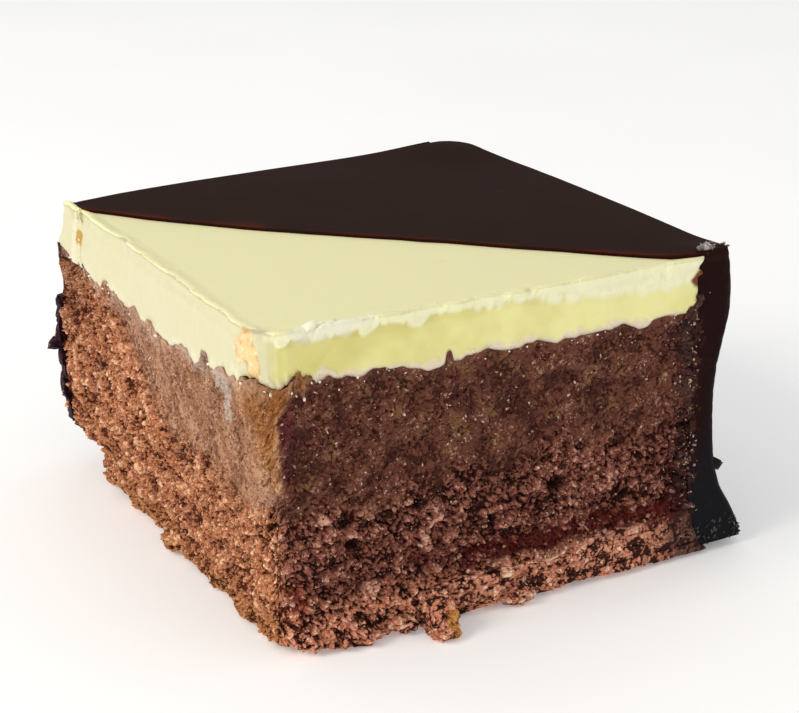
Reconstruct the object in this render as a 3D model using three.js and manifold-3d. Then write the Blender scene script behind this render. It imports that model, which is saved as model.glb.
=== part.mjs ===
// A square slice of layered chocolate sponge, cut from the corner of a tray cake.
// From the board up: a crumbly base sponge, a thin seam of dark jam, a second sponge, a dense layer
// soaked in syrup, and a thick sheet of pale marzipan cream. Dark chocolate coats the two outer
// sides and runs over the cream as far as a diagonal, so that the top shows two tones.
// Two sides are cut faces, where every layer shows its broken crumb.
//
// Millimetres, +Z up. The slice stands on its base. The front cut face looks along -Y and the left
// cut face along -X, and they meet at the front corner.
import * as THREE from "three";
import { mergeVertices } from "three/addons/utils/BufferGeometryUtils.js";
import Module from "manifold-3d";

const wasm = await Module();
wasm.setup();

// Driving dimensions
const SIDE = 55; // side of the square of cake inside the coat
const TOP = 37.5; // upper face of the cream, above the board
const GLAZE = 0.4; // chocolate over the cream
const PLATE_TOP = TOP + GLAZE;
const GAP = 0.3; // clearance between the coat and the cake it covers

// Seams between the layers: height above the board, and how deep they wave along the cut faces
const JAM_SEAM = { level: 6.4, depth: 0.7, seed: 1 };
const CRUMB_SEAM = { level: 9.2, depth: 0.8, seed: 2 };
const SOAKED_SEAM = { level: 18.6, depth: 1, seed: 3 };
const CREAM_SEAM = { level: 31, depth: 0.6, seed: 5 };

// The left cut face leans in at its foot, where the knife ran under the slice. At the left corner it
// stands proud above that.
const FOOT_LEAN = 2.8;
const LEFT_PROUD = 0.8;
const LEFT_LEAN_HEIGHT = 4.5;

// The coated sides stand in from the square at the top and spread towards the board.
const RIGHT = { inset: 0.9, spread: 3.4, height: 4 };
const BACK = { spread: 5, power: 1.3 };
const LEFT_CORNER = { inset: 1.3, spread: 6.4, from: 20, to: 34 };

// The foot has crumbled away at the left corner, over this reach in plan. The lowest seams rise by a
// share of the same height.
const BROKEN_FOOT = { height: 5.6, full: 8, reach: 13.5, seamShare: 0.35 };

// The coat's thickness, its flare at the foot, its waist and its bulge level with the cream
const COAT = { right: 4, back: 1.4, backCorner: 3.8, left: 1.1 };
const COAT_FOOT = 1.2; // its lower edge clears the board
const FLARE = { out: 4.1, height: 7, power: 2.5, back: 0.3 };
const WAIST = { in: 0.9, at: 20, height: 8 };
const BULGE = { out: 0.8, at: 31, height: 5, back: 0.5 };
const SWELL = 1.2; // the coated walls bow out midway along
const RIPPLE = { depth: 0.45, pitch: 8 };

const LIP = 1.5; // height of the cream's rounded upper edge
const ROUND = 1.3; // radius of the coat's upper edge

// Beside the cream at the left corner the coat has broken away, and the bare cake bulges there.
const CHIP = { from: 24.5, width: 3.6, depth: 4.5 };
const BARE_BULGE = { x: -0.7, y: 3.4, full: 32, nearness: 18 };

// Plan corners in walking order: front, right, back, left
const CORNER_RADIUS = [3.2, 0.8, 5, 0.8];
const ARC_STEPS = [5, 2, 5, 2];
const WALL_STEPS = [42, 9, 9, 42];
const CROWDING = [1, 1, 1.5, 1]; // above 1, a wall's steps shorten towards its end
const CUT_WALLS = [true, false, false, true];

const { lerp, smoothstep } = THREE.MathUtils;
const fade = (value, from, to) => 1 - smoothstep(value, from, to);
const bump = (value, width) => Math.exp(-((value / width) ** 2));

// Smooth repeatable noise between -1 and 1, from random values on a lattice
function latticeValue(i, j, k) {
  const s = Math.sin(i * 127.1 + j * 311.7 + k * 74.7) * 43758.5453;
  return 2 * (s - Math.floor(s)) - 1;
}

function noise(x, y, z) {
  const base = [x, y, z].map(Math.floor);
  const [u, v, w] = [x - base[0], y - base[1], z - base[2]].map((t) => t * t * (3 - 2 * t));
  let sum = 0;
  for (const [a, b, c] of [
    [0, 0, 0], [1, 0, 0], [0, 1, 0], [1, 1, 0],
    [0, 0, 1], [1, 0, 1], [0, 1, 1], [1, 1, 1],
  ]) {
    const weight = (a ? u : 1 - u) * (b ? v : 1 - v) * (c ? w : 1 - w);
    sum += weight * latticeValue(base[0] + a, base[1] + b, base[2] + c);
  }
  return sum;
}

// Broken crumb: lumps a few millimetres across with smaller grit on them
const LUMP = { size: 3.1, depth: 0.6 };
const GRIT = { size: 1.35, depth: 0.7, offset: 9 };

function crumbRelief(x, y, z) {
  const [lump, grit] = [LUMP, GRIT].map(({ size, depth, offset = 0 }) =>
    depth * noise(x / size + offset, y / size, z / size),
  );
  return lump + grit;
}

// The plan walked anticlockwise round a unit square with rounded corners. A station keeps its place,
// its outward direction and how far it belongs to a cut face.
function planStations() {
  const stations = [];
  const corners = [[0, 0], [1, 0], [1, 1], [0, 1]];
  corners.forEach(([cx, cy], i) => {
    const r = CORNER_RADIUS[i] / SIDE;
    const centre = new THREE.Vector2(cx ? cx - r : r, cy ? cy - r : r);
    const before = CUT_WALLS[(i + 3) % 4] ? 1 : 0;
    const after = CUT_WALLS[i] ? 1 : 0;
    for (let k = 0; k <= ARC_STEPS[i]; k++) {
      const share = k / ARC_STEPS[i];
      const turn = Math.PI + (Math.PI / 2) * (i + share);
      const out = new THREE.Vector2(Math.cos(turn), Math.sin(turn));
      const at = centre.clone().addScaledVector(out, r);
      stations.push({ at, out, cut: lerp(before, after, share) });
    }
    const [nx, ny] = corners[(i + 1) % 4];
    const nextR = CORNER_RADIUS[(i + 1) % 4] / SIDE;
    const along = new THREE.Vector2(nx - cx, ny - cy);
    const from = new THREE.Vector2(cx, cy).addScaledVector(along, r);
    const to = new THREE.Vector2(nx, ny).addScaledVector(along, -nextR);
    const out = new THREE.Vector2(along.y, -along.x);
    for (let k = 1; k < WALL_STEPS[i]; k++) {
      const at = from.clone().lerp(to, 1 - (1 - k / WALL_STEPS[i]) ** CROWDING[i]);
      stations.push({ at, out, cut: after });
    }
  });
  return stations;
}
const STATIONS = planStations();
const FRONT_PLACE = new THREE.Vector2(0, 0);
const LEFT_PLACE = new THREE.Vector2(0, 1);

// The four plan corners of the cake at a height
function cakeCorners(z) {
  const below = Math.max(0, 1 - z / CREAM_SEAM.level);
  const right = SIDE - RIGHT.inset + RIGHT.spread * Math.exp(-z / RIGHT.height);
  const back = SIDE + BACK.spread * below ** BACK.power;
  const proud = LEFT_PROUD * fade(z, CREAM_SEAM.level + 1, TOP - LIP);
  const lean = (FOOT_LEAN + LEFT_PROUD) * Math.exp(-z / LEFT_LEAN_HEIGHT);
  const spread = LEFT_CORNER.spread * fade(z, LEFT_CORNER.from, LEFT_CORNER.to);
  return [
    [FOOT_LEAN * below ** BACK.power, 0],
    [right, 0],
    [right, back],
    [lean - proud, SIDE - LEFT_CORNER.inset + spread],
  ];
}

// And of the coat, whose cut ends are flush with the cut faces
function coatCorners(z) {
  const [front, [right], [, back], [left, leftBack]] = cakeCorners(z);
  const flare = FLARE.out * Math.exp(-((z / FLARE.height) ** FLARE.power));
  const bulge = BULGE.out * bump(z - BULGE.at, BULGE.height);
  const waist = WAIST.in * bump(z - WAIST.at, WAIST.height);
  const outerX = (0.6 * SIDE + 0.4 * right) + COAT.right + flare + bulge - waist;
  const outerY = back + COAT.backCorner + FLARE.back * flare + BULGE.back * bulge;
  const extra = COAT.left * fade(z, LEFT_CORNER.from + 2, LEFT_CORNER.to - 4);
  return [front, [outerX, 0], [outerX - 1, outerY], [left, leftBack + COAT.back + extra]];
}

// A point of the unit plan, laid between the four corners
function placed(at, corners) {
  const weights = [(1 - at.x) * (1 - at.y), at.x * (1 - at.y), at.x * at.y, (1 - at.x) * at.y];
  const point = new THREE.Vector2();
  corners.forEach(([x, y], i) => point.add(new THREE.Vector2(x, y).multiplyScalar(weights[i])));
  return point;
}

function bareBulge(s, z) {
  const near = s.cut * Math.exp(-s.at.distanceTo(LEFT_PLACE) * BARE_BULGE.nearness);
  const share = near * smoothstep(z, CHIP.from, BARE_BULGE.full);
  return new THREE.Vector2(BARE_BULGE.x, BARE_BULGE.y).multiplyScalar(share);
}

// A ring of the cake: heightAt gives each station's height, rough the relief of its cut faces, and
// proud how far it stands out of the smooth wall.
function cakeRing(heightAt, rough = 0, proud = 0) {
  return STATIONS.map((s) => {
    const z = heightAt(s);
    const p = placed(s.at, cakeCorners(z)).add(bareBulge(s, z));
    const out = s.cut * (rough * crumbRelief(p.x, p.y, z) + proud);
    return new THREE.Vector3(p.x + out * s.out.x, p.y + out * s.out.y, z);
  });
}

// The same ring drawn in towards the middle of the plan, at the height heightAt gives there
function insetRing(ring, inset, heightAt) {
  const middle = new THREE.Vector3(SIDE / 2, SIDE / 2, 0);
  return ring.map((p, i) => {
    const flat = new THREE.Vector3(p.x, p.y, 0);
    const level = heightAt(STATIONS[i], flat);
    return flat.lerp(middle, Math.min(1, inset / flat.distanceTo(middle))).setZ(level);
  });
}

// Triangles are pushed as three points each; rings run anticlockwise seen from above.
function band(triangles, lower, upper) {
  lower.forEach((a, i) => {
    const j = (i + 1) % lower.length;
    triangles.push(a, lower[j], upper[j], a, upper[j], upper[i]);
  });
}

// A lid of rings from the rim inwards, closed by a fan. Two layers that share a lid's rings meet
// without a gap, because its diagonals run the same way whichever side it faces.
function lid(triangles, rings, facesUp) {
  const push = (a, b, c) => (facesUp ? triangles.push(a, b, c) : triangles.push(a, c, b));
  for (let r = 0; r + 1 < rings.length; r++) {
    const [outer, inner] = [rings[r], rings[r + 1]];
    outer.forEach((a, i) => {
      const j = (i + 1) % outer.length;
      push(a, outer[j], inner[j]);
      push(a, inner[j], inner[i]);
    });
  }
  const last = rings[rings.length - 1];
  const middle = last.reduce((sum, p) => sum.add(p), new THREE.Vector3()).divideScalar(last.length);
  last.forEach((a, i) => push(a, last[(i + 1) % last.length], middle));
}

function geometryOf(triangles) {
  const points = new THREE.BufferGeometry().setFromPoints(triangles);
  return mergeVertices(points, 1e-4);
}

// A layer from its lower lid, the side rings between, and its upper lid
function layer(lowerLid, sides, upperLid) {
  const triangles = [];
  const rings = [lowerLid[0], ...sides, upperLid[0]];
  for (let r = 0; r + 1 < rings.length; r++) band(triangles, rings[r], rings[r + 1]);
  lid(triangles, lowerLid, false);
  lid(triangles, upperLid, true);
  return geometryOf(triangles);
}

function solidOf(geometry) {
  const bare = geometry.clone();
  bare.deleteAttribute("normal");
  bare.deleteAttribute("uv");
  const merged = mergeVertices(bare, 1e-4);
  return new wasm.Manifold(
    new wasm.Mesh({
      numProp: 3,
      vertProperties: new Float32Array(merged.getAttribute("position").array),
      triVerts: new Uint32Array(merged.index.array),
    }),
  );
}

function geometryFromSolid(solid) {
  const mesh = solid.getMesh();
  const geometry = new THREE.BufferGeometry();
  geometry.setAttribute("position", new THREE.BufferAttribute(mesh.vertProperties, 3));
  geometry.setIndex(new THREE.BufferAttribute(mesh.triVerts, 1));
  return geometry;
}

// How far the foot of the slice stands off the board near its left corner
function footLift(x, y) {
  const fromCorner = Math.hypot(x, y - SIDE - BACK.spread);
  return BROKEN_FOOT.height * fade(fromCorner, BROKEN_FOOT.full, BROKEN_FOOT.reach);
}

function stationLift(s) {
  const foot = placed(s.at, cakeCorners(0));
  return footLift(foot.x, foot.y);
}

// Waves along the walls, by the station's place
const wave = (s, seed, pitch) => noise((s.at.x * SIDE) / pitch + seed, (s.at.y * SIDE) / pitch, seed);

const seamHeight = ({ level, depth, seed }) => (s) =>
  level + s.cut * depth * (wave(s, seed, 4) + 0.5 * wave(s, seed + 20, 1.7));

const lowSeamHeight = (seam) => (s) => seamHeight(seam)(s) + BROKEN_FOOT.seamShare * stationLift(s);

// The cream's lower edge hangs lowest midway along the left face and stands highest at the corners.
const CREAM_EDGE = { sagLeft: 1.1, liftFront: 1.5, liftLeft: 1, nearness: 9 };

function creamSeam(s) {
  const alongLeft = s.out.x < -0.9 ? Math.sin(Math.PI * s.at.y) : 0;
  const [nearFront, nearLeft] = [FRONT_PLACE, LEFT_PLACE].map((place) =>
    Math.exp(-s.at.distanceTo(place) * CREAM_EDGE.nearness),
  );
  const lift = CREAM_EDGE.liftFront * nearFront + CREAM_EDGE.liftLeft * nearLeft;
  return seamHeight(CREAM_SEAM)(s) + s.cut * (lift - CREAM_EDGE.sagLeft * alongLeft);
}

// A seam's lid: wavy at the rim, flat from a little way in
function seamLid(heightAt, { level }, rough, proud = 0) {
  const rim = cakeRing(heightAt, rough, proud);
  return [rim, insetRing(rim, 4, () => level)];
}

// Side rings between two seams, evenly spaced at every station
function sideRings(lowerHeight, upperHeight, count, rough, proud = 0) {
  return Array.from({ length: count }, (_, k) => {
    const share = (k + 1) / (count + 1);
    return cakeRing((s) => lerp(lowerHeight(s), upperHeight(s), share), rough, proud);
  });
}

// The base's edge is worn off the board all round, and most at the front corner.
const WORN = { everywhere: 0.35, cutFaces: 0.25, frontCorner: 0.8, nearness: 14, pitch: 3 };

function baseEdge(s) {
  const corner = WORN.frontCorner * Math.exp(-s.at.distanceTo(FRONT_PLACE) * WORN.nearness);
  const worn = corner + WORN.cutFaces * (1 + wave(s, 31, WORN.pitch));
  return WORN.everywhere + s.cut * worn + stationLift(s);
}

// Depth of the relief on each layer's cut faces, and how far some stand out or in
const ROUGH = { base: 0.6, jam: 0.35, crumb: 0.55, soaked: 0.3, cream: 0.16 };
const JAM_SUNK = -0.3;
const CREAM_PROUD = 0.25;

const jamSeam = lowSeamHeight(JAM_SEAM);
const crumbSeam = lowSeamHeight(CRUMB_SEAM);
const soakedSeam = seamHeight(SOAKED_SEAM);

const baseRim = cakeRing(baseEdge, ROUGH.base);
const underside = (s, p) => footLift(p.x, p.y);
const baseLid = [
  baseRim,
  insetRing(baseRim, 2.6, underside),
  insetRing(baseRim, 8, underside),
  insetRing(baseRim, 15, () => 0),
];
const jamLid = seamLid(jamSeam, JAM_SEAM, ROUGH.jam, JAM_SUNK);
const crumbLid = seamLid(crumbSeam, CRUMB_SEAM, ROUGH.jam, JAM_SUNK);
const soakedLid = seamLid(soakedSeam, SOAKED_SEAM, ROUGH.soaked);
const creamLid = seamLid(creamSeam, CREAM_SEAM, ROUGH.cream, CREAM_PROUD / 2);

// A broken crumb or bead: an icosahedron of this width, depth and height, knocked out of shape
function lumpSolid({ at: [x, y], size: [width, depth, height], bottom, detail = 0 }, turn) {
  const lump = new THREE.IcosahedronGeometry(0.5, detail);
  const points = lump.getAttribute("position");
  for (let i = 0; i < points.count; i++) {
    const p = new THREE.Vector3().fromBufferAttribute(points, i);
    p.multiplyScalar(1 + 0.3 * noise(3 * p.x + turn, 3 * p.y, 3 * p.z));
    points.setXYZ(i, p.x, p.y, p.z);
  }
  lump.rotateZ(turn).rotateX(turn / 2).scale(width, depth, height);
  lump.computeBoundingBox();
  return solidOf(lump.translate(x, y, bottom - lump.boundingBox.min.z));
}

// Crumbs fused to the foot of the cut faces. One is a piece of golden peel.
const JUST_CLEAR = 0.05;
const PEEL = { at: [19.8, -1.5], size: [2.9, 5.4, 4.8] };
const CRUMBS = [
  PEEL,
  { at: [30.5, -0.2], size: [3.4, 2.6, 2.6] },
  { at: [11.5, -0.1], size: [3.8, 2.4, 2.4] },
  { at: [2.4, 50.6], size: [3.2, 3.8, 6.6] },
  { at: [2.4, 30.5], size: [3.2, 3.6, 2.6] },
  { at: [3.5, 12], size: [3, 3.2, 2.2] },
].map((crumb) => ({ ...crumb, bottom: JUST_CLEAR, detail: 1 }));

// Finer crumbs, from a seeded draw, alternately on the left and the front cut face
const FINE_CRUMBS = { count: 10, from: 4, over: 39, size: 1.7, spread: 0.8, seed: 20261 };

function fineCrumbs() {
  let state = FINE_CRUMBS.seed;
  const draw = () => {
    state = (state * 16807) % 2147483647;
    return state / 2147483647;
  };
  return Array.from({ length: FINE_CRUMBS.count }, (_, k) => {
    const along = FINE_CRUMBS.from + FINE_CRUMBS.over * draw();
    const size = FINE_CRUMBS.size + FINE_CRUMBS.spread * draw();
    const at = k % 2 ? [along, 0.2] : [FOOT_LEAN + 0.5, along];
    return { at, size: [size, size, size], bottom: JUST_CLEAR };
  });
}

function withCrumbs(geometry) {
  const lumps = [...CRUMBS, ...fineCrumbs()].map((crumb, i) => lumpSolid(crumb, i * 1.3));
  return geometryFromSolid(lumps.reduce((solid, lump) => solid.add(lump), solidOf(geometry)));
}

// The cream's side stands a little proud, its upper edge rounds over in a torn lip, and its top is
// a true plane under the chocolate. The lip's rings: how far in, and how far below the top.
const LIP_RINGS = [
  { inset: 0.45, drop: 0.75 },
  { inset: 1.3, drop: 0.25 },
  { inset: 2.6, drop: 0 },
];

function creamGeometry() {
  const lipStart = (s) => TOP - LIP - 0.35 * s.cut * (1 + wave(s, 41, 2.2));
  const sides = sideRings(creamSeam, lipStart, 3, ROUGH.cream, CREAM_PROUD);
  const lipRim = cakeRing(lipStart, ROUGH.cream, CREAM_PROUD);
  const lip = LIP_RINGS.map(({ inset, drop }) =>
    insetRing(lipRim, inset, (s) => TOP - s.cut * drop * (1 + 0.5 * wave(s, 43, 1.8))),
  );
  return layer(creamLid, sides, [lipRim, ...lip]);
}

// The way out of the coated wall that a station is on, or that ends at its corner
function coatedOut(s) {
  if (s.cut === 0) return s.out;
  return s.at.x > s.at.y ? new THREE.Vector2(1, 0) : new THREE.Vector2(0, 1);
}

// The coat: a block with rounded upper edges, less the cake, the bare front half of the top and the
// chip. Its cut ends carry a little of the crumb's relief.
function coatRing(heightAt, inset = 0) {
  return STATIONS.map((s) => {
    const z = heightAt(s);
    const p = placed(s.at, coatCorners(z));
    const bow = SWELL * Math.sin(Math.PI * (s.out.x > s.out.y ? s.at.y : s.at.x));
    const ripple = RIPPLE.depth * noise(p.x / RIPPLE.pitch, p.y / RIPPLE.pitch, z / RIPPLE.pitch);
    p.addScaledVector(coatedOut(s), (1 - s.cut) * (bow + ripple - inset));
    p.addScaledVector(s.out, s.cut * 0.12 * crumbRelief(p.x, p.y, z));
    return new THREE.Vector3(p.x, p.y, z);
  });
}

// The top of the coat swells over the back corner and lifts at the cut right corner.
const BACK_RISE = { at: [55, 57], height: 0.7, width: 9 };
const RIGHT_RISE = { at: [56.5, 0], height: 0.4, width: 4 };

function coatRise(s, p) {
  return [BACK_RISE, RIGHT_RISE]
    .map(({ at: [x, y], height, width }) => height * bump(Math.hypot(p.x - x, p.y - y), width))
    .reduce((a, b) => a + b);
}

const coatTop = (s, p) => PLATE_TOP + coatRise(s, p);

function coatBlock() {
  const [levels, roundSteps, footRound] = [12, 3, 0.7];
  const highest = PLATE_TOP - ROUND;
  const lowest = (s) => COAT_FOOT + stationLift(s);
  const foot = coatRing(lowest, footRound);
  const sides = Array.from({ length: levels }, (_, k) =>
    coatRing((s) => lerp(lowest(s) + footRound, highest, k / (levels - 1))),
  );
  const shoulder = Array.from({ length: roundSteps }, (_, k) => {
    const turn = (Math.PI / 2) * ((k + 1) / roundSteps);
    const ring = coatRing(() => highest + ROUND * Math.sin(turn), ROUND * (1 - Math.cos(turn)));
    return ring.map((p, i) => p.setZ(p.z + Math.sin(turn) * coatRise(STATIONS[i], p)));
  });
  const rim = shoulder.pop();
  const risen = [5, 12].map((inset) => insetRing(rim, inset, coatTop));
  const topLid = [rim, ...risen, insetRing(rim, 20, () => PLATE_TOP)];
  return solidOf(layer([foot], [...sides, ...shoulder], topLid));
}

// The space the cake takes inside the coat, with its clearance. It runs out through the cut faces.
const SPACE_LEVELS = [-5, 0, 1.5, 3, 5, 8, 12, 20.5, 23, 26, 29, 32, 34, 35, TOP - LIP, TOP];
const SPACE_PAST = 3;

function cakeSpace() {
  const rings = SPACE_LEVELS.map((z) =>
    STATIONS.map((s) => {
      const p = placed(s.at, cakeCorners(Math.max(0, z)));
      const past = SPACE_PAST * s.cut;
      const x = p.x + (s.out.x > 0 ? GAP : past) * s.out.x;
      const y = p.y + (s.out.y > 0 ? GAP : past) * s.out.y;
      return new THREE.Vector3(x, y, z);
    }),
  );
  return solidOf(layer([rings[0]], rings.slice(1, -1), [rings[rings.length - 1]]));
}

// Plan of what the chocolate leaves bare: everything in front of a diagonal through these points
const CLEAR = 8;
const DIAGONAL = [
  [54, -CLEAR], [53.7, -0.4], [50, 2], [40, 11], [30, 20.3], [20, 29], [10, 39], [-0.8, 52], [-CLEAR, 61],
];

function barePrism() {
  const curve = new THREE.SplineCurve(DIAGONAL.map(([x, y]) => new THREE.Vector2(x, y)));
  const edge = curve.getPoints(40).map((p) => p.addScalar(0.12 * noise(p.x / 2.5, 3, 1)));
  const shape = new THREE.Shape([new THREE.Vector2(-CLEAR, -CLEAR), ...edge]);
  const prism = new THREE.ExtrudeGeometry(shape, { depth: CLEAR, bevelEnabled: false });
  return solidOf(prism.translate(0, 0, TOP - 1));
}

function chip() {
  const height = TOP - CHIP.from;
  const wedge = new THREE.CylinderGeometry(Math.SQRT2, 0.9 * Math.SQRT2, height, 4);
  wedge.rotateY(Math.PI / 4).rotateX(Math.PI / 2).scale(CHIP.width, CHIP.depth, 1);
  return solidOf(wedge.translate(-0.5, SIDE + 2.5, CHIP.from + height / 2));
}

// Beads of chocolate standing on the coat's cut ends
const BEADS = [
  { at: [-0.7, 61.8], size: [2.8, 2.6, 1.9], bottom: 16.4 },
  { at: [0, 60.8], size: [2.2, 2.2, 3], bottom: 20.3 },
  { at: [59.3, 1], size: [2.1, 2, 1.8], bottom: 10 },
];

function coatGeometry() {
  const beaded = BEADS.reduce((solid, bead, i) => solid.add(lumpSolid(bead, i)), coatBlock());
  const coat = beaded.subtract(cakeSpace()).subtract(barePrism()).subtract(chip());
  const largest = coat.decompose().reduce((a, b) => (a.volume() > b.volume() ? a : b));
  return geometryFromSolid(largest);
}

// Parts, from the board up
function part(name, geometry, color, roughness) {
  const mesh = new THREE.Mesh(geometry, new THREE.MeshStandardMaterial({ color, roughness, metalness: 0 }));
  mesh.name = name;
  return mesh;
}

const base = withCrumbs(layer(baseLid, sideRings(baseEdge, jamSeam, 3, ROUGH.base), jamLid));
const jam = layer(jamLid, sideRings(jamSeam, crumbSeam, 1, ROUGH.jam, JAM_SUNK), crumbLid);
const crumb = layer(crumbLid, sideRings(crumbSeam, soakedSeam, 6, ROUGH.crumb), soakedLid);
const soaked = layer(soakedLid, sideRings(soakedSeam, creamSeam, 7, ROUGH.soaked), creamLid);

const slice = new THREE.Group();
slice.add(
  part("base_sponge", base, 0x6b4230, 0.95),
  part("jam_seam", jam, 0x3f1512, 0.45),
  part("crumb_sponge", crumb, 0x5d3527, 0.95),
  part("soaked_sponge", soaked, 0x553728, 0.6),
  part("cream_sheet", creamGeometry(), 0xece7b4, 0.5),
  part("chocolate_coat", coatGeometry(), 0x2a1a17, 0.3),
);

// The origin is the middle of the slice's footprint, on the board.
const bounds = new THREE.Box3().setFromObject(slice);
const middle = bounds.getCenter(new THREE.Vector3());
slice.position.set(-middle.x, -middle.y, -bounds.min.z);

export default slice;
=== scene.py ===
import itertools
from math import radians

import bmesh
import bpy
import numpy as np
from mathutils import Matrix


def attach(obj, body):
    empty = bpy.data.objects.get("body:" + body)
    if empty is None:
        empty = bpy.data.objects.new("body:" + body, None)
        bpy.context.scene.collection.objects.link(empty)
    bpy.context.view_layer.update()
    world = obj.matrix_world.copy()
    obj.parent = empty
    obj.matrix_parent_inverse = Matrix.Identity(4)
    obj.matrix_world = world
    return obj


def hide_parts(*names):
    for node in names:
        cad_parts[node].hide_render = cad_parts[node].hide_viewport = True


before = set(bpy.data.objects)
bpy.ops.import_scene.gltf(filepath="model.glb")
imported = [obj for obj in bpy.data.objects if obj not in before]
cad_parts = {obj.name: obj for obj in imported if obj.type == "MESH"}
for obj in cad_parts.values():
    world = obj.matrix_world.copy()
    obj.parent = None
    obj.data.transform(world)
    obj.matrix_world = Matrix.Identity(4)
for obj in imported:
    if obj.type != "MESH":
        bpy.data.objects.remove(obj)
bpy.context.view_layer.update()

# The lower sponge, the first layer on the board: a baked chocolate sponge, dry and open. The knife
# tore its crumb into grains, clumps and pits, its lower edge is worn off the board, and a strip of
# candied peel sticks out of it at the front.

# Places are in mm: x runs along the front cut face and y along the left one, from the corner
# where they meet, and z is the height above the board. Along both cut faces, from the left one's
# end to the right one's, a place is x - y.
MILLIMETRE = 0.001
CUT_CORNER = np.array([-31.144, -30.466, 0.0])


def lottery(cell, seed):
    """A number from 0 to 1 for each whole-numbered cell, the same at every run."""
    key = cell.astype(np.int64) @ np.array([73856093, 19349663, 83492791]) + seed * 40503
    for factor in (1274126177, 2146121005):
        key = ((key ^ (key >> 15)) & 0xFFFFFFFF) * factor
    return ((key >> 9) & 0x3FFFFF) / 0x3FFFFF


def waves(places, size, seed):
    """Smooth random waves of that size, from -1 to 1."""
    grid = places / size
    home = np.floor(grid)
    ease = (grid - home) ** 2 * (3 - 2 * (grid - home))
    total = np.zeros(len(places))
    for step in itertools.product((0, 1), repeat=3):
        share = np.prod(np.where(step, ease, 1 - ease), axis=1)
        total += share * lottery(home + step, seed)
    return 2 * total - 1


def cells(places, size, seed):
    """Scattered spots, one to a cell: how far off the nearest and the next are, the nearest's own
    number, and how high the place lies on a plane that leans its own way round that spot."""
    grid = places / size
    home = np.floor(grid)
    nearest = np.full(len(places), 9.0)
    second = nearest.copy()
    owner, offset = home, grid
    for step in itertools.product((-1, 0, 1), repeat=3):
        cell = home + step
        away = grid - cell - np.stack([lottery(cell, seed + k) for k in range(3)], axis=1)
        distance = np.linalg.norm(away, axis=1)
        closer = (distance < nearest)[:, None]
        owner, offset = np.where(closer, cell, owner), np.where(closer, away, offset)
        second = np.clip(distance, nearest, second)
        nearest = np.minimum(nearest, distance)
    lean = sum(offset[:, k] * (2 * lottery(owner, seed + 4 + k) - 1) for k in range(3))
    return nearest, second, lottery(owner, seed + 3), lean


def between(value, low, high):
    """0 below low, 1 above high and a smooth rise from one to the other."""
    share = np.clip((value - low) / (high - low), 0, 1)
    return share * share * (3 - 2 * share)


def lifted(points, amount):
    """Points raised, each by its own amount."""
    return points + np.column_stack([0 * amount, 0 * amount, amount])


CORNER_RADIUS = 3.2
RELIEF_FROM, RELIEF_TO = 2.5, 6.0  # behind a cut face its relief fades out between these depths
CUT_FACING, CUT_DEPTH = 0.25, 5  # a cut face's triangles look out of it and lie this near


def out_of_cut(places):
    """The way out of the nearer cut face, level, and turning with the rounded front corner."""
    way = np.minimum(places[:, :2] - CORNER_RADIUS, 0)
    length = np.maximum(np.linalg.norm(way, axis=1), 1e-6)
    return np.column_stack([way / length[:, None], np.zeros(len(way))])


def near_cut(places):
    """1 at the cut faces, fading to 0 inside the cake."""
    return 1 - between(places[:, :2].min(axis=1), RELIEF_FROM, RELIEF_TO)


def face_normals(points, faces):
    """The way each triangle looks."""
    a, b, c = (points[faces[:, k]] for k in range(3))
    normal = np.cross(b - a, c - a)
    return normal / np.maximum(np.linalg.norm(normal, axis=1), 1e-9)[:, None]


def cut_faces(points, faces):
    """Which triangles lie in the left or the front cut face."""
    middle = points[faces].mean(axis=1)
    facing = (face_normals(points, faces) * out_of_cut(middle)).sum(axis=1)
    return (facing > CUT_FACING) & (middle[:, :2].min(axis=1) < CUT_DEPTH)


def split_long_edges(points, faces, shown, limit):
    """Splits the shown triangles at the middles of their edges until none is longer than limit."""
    while True:
        ends = np.sort(faces[:, [[0, 1], [1, 2], [2, 0]]], axis=2)
        key, edge = np.unique(ends[..., 0] * len(points) + ends[..., 1], return_inverse=True)
        edge = edge.reshape(-1, 3)
        low, high = key // len(points), key % len(points)
        long = np.zeros(len(key), bool)
        long[edge[shown]] = True
        long &= np.linalg.norm(points[low] - points[high], axis=1) > limit
        if not long.any():
            return points, faces, shown
        middle = np.full(len(key), -1)
        middle[long] = len(points) + np.arange(long.sum())
        points = np.vstack([points, (points[low] + points[high])[long] / 2])
        cut = middle[edge]
        count = (cut >= 0).sum(axis=1)
        first = np.where(count == 1, np.argmax(cut >= 0, axis=1), np.argmin(cut >= 0, axis=1) + 1)
        turn = (first[:, None] + np.arange(3)) % 3
        a, b, c = np.take_along_axis(faces, turn, axis=1).T
        ab, bc, ca = np.take_along_axis(cut, turn, axis=1).T
        pieces = [
            (count == 0, [(a, b, c)]),
            (count == 1, [(a, ab, c), (ab, b, c)]),
            (count == 2, [(ab, b, bc), (a, ab, bc), (a, bc, c)]),
            (count == 3, [(a, ab, ca), (ab, b, bc), (ca, bc, c), (ab, bc, ca)]),
        ]
        made = [(np.column_stack(t)[which], shown[which]) for which, ts in pieces for t in ts]
        faces = np.vstack([f for f, _ in made])
        shown = np.concatenate([s for _, s in made])


WELD = 0.002  # corners nearer than this are one


def node_surface(node):
    """A CAD node's welded corners and its triangles."""
    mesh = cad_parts[node].data
    points = np.array([v.co for v in mesh.vertices]) / MILLIMETRE - CUT_CORNER
    faces = np.array([p.vertices for p in mesh.polygons])
    _, first, same = np.unique(np.round(points / WELD), axis=0, return_index=True, return_inverse=True)
    faces = same.reshape(-1)[faces]
    whole = (faces != np.roll(faces, 1, axis=1)).all(axis=1)
    return points[first], faces[whole]


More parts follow.
